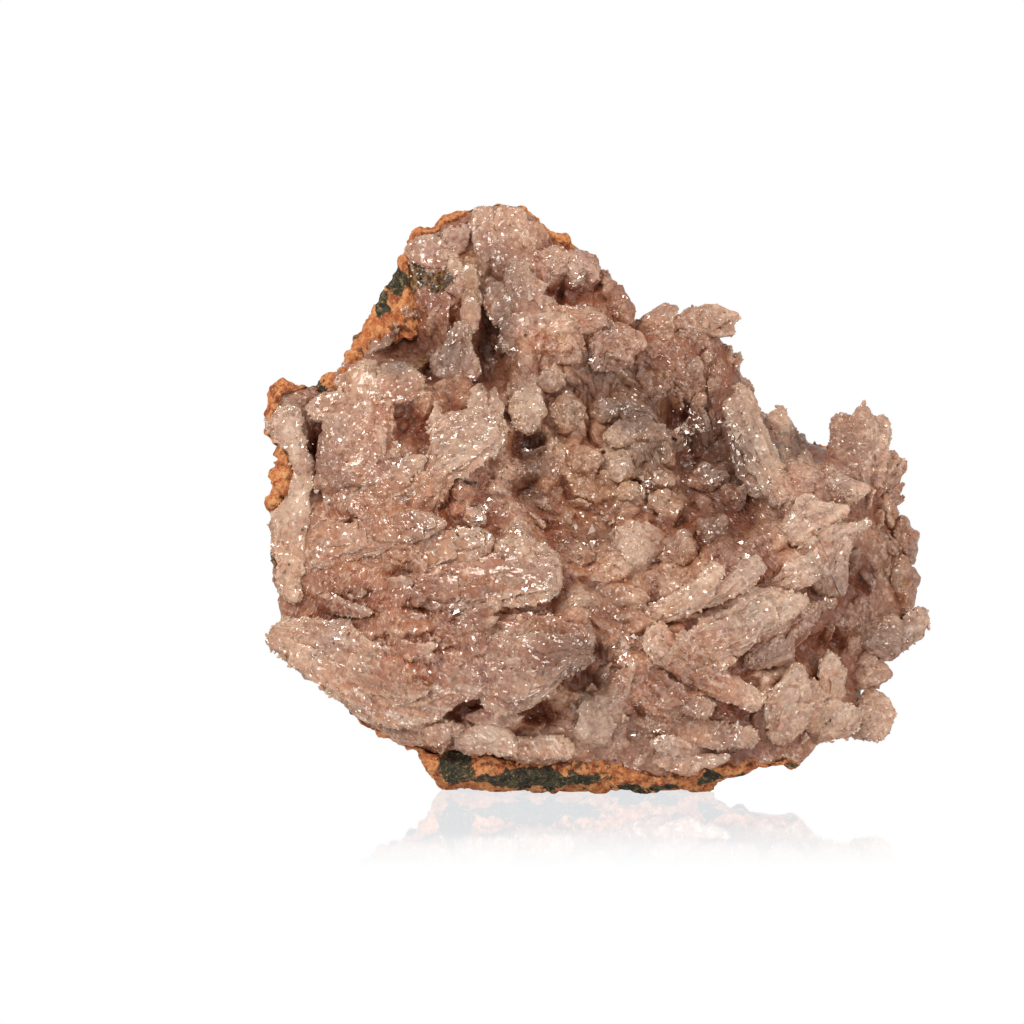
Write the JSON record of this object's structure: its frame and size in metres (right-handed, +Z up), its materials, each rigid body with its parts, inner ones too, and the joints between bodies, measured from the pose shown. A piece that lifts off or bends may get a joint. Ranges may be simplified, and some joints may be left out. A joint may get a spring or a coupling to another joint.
{
  "type": "drusy quartz specimen",
  "caption": "Hand specimen of pinkish drusy quartz with overlapping blades, knobs and small stalactite heads, grown in a bowl of weathered host rock that it stands on.",
  "frame": {"origin": "under the middle of the specimen, at the level of the surface that it stands on", "axes": "+Z up, the crystal face looks along -Y, +X is to its right as seen from the front"},
  "size_m": [0.0996, 0.0548, 0.0869],
  "materials": {
    "quartz": "sugary translucent crystal, glassy facets",
    "host_rock": "matt, granular, orange and dark green"
  },
  "bodies": {
    "root": {"quartz_growth": "quartz", "host_rock_rind": "host_rock"}
  },
  "joints": []
}
